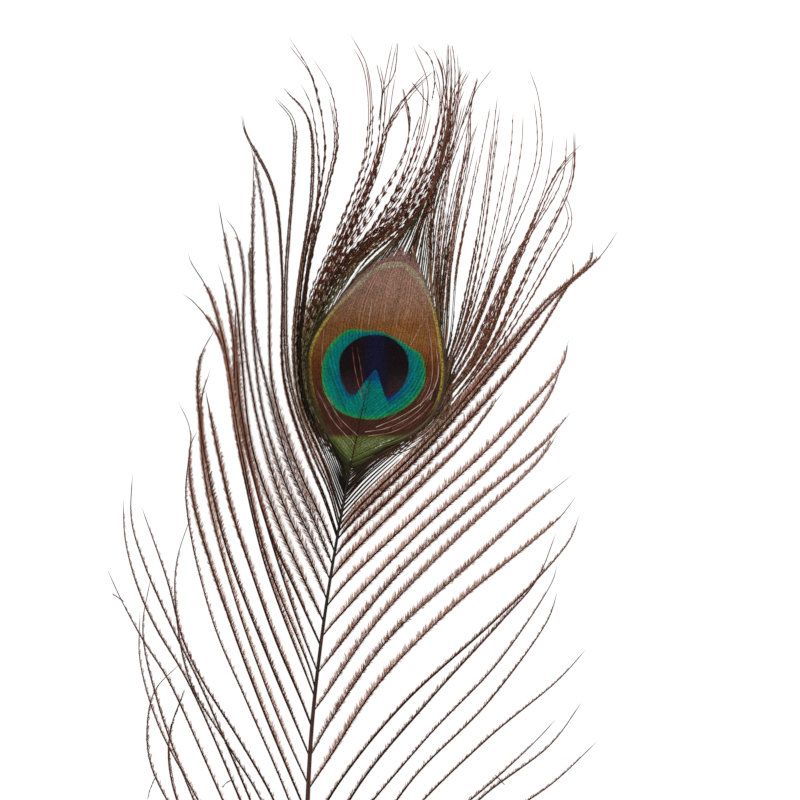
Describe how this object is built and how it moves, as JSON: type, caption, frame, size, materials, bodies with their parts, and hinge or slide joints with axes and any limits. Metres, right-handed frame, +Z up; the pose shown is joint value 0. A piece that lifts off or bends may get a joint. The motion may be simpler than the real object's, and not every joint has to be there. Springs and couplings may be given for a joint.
{
  "type": "peacock feather",
  "caption": "Peacock tail feather lying face up: tapered shaft with a plain cut end, blue-green eye in an oval vane, and long loose brown barbs on both sides.",
  "frame": {"origin": "on the flat underside of the shaft, where the lowest barbs leave it", "axes": "+Y along the shaft towards the feather's tip, +Z up out of the face that carries the eye, +X to the right seen from above"},
  "size_m": [0.1279, 0.2998, 0.0038],
  "materials": {
    "feather": "dark brown loose barbs with a silky sheen",
    "shaft": "horn-like keratin, smooth, reddish brown",
    "eye": "iridescent barbules in blue-green, violet-black, bronze and olive zones"
  },
  "bodies": {
    "root": {"feather": "feather"}
  },
  "joints": []
}
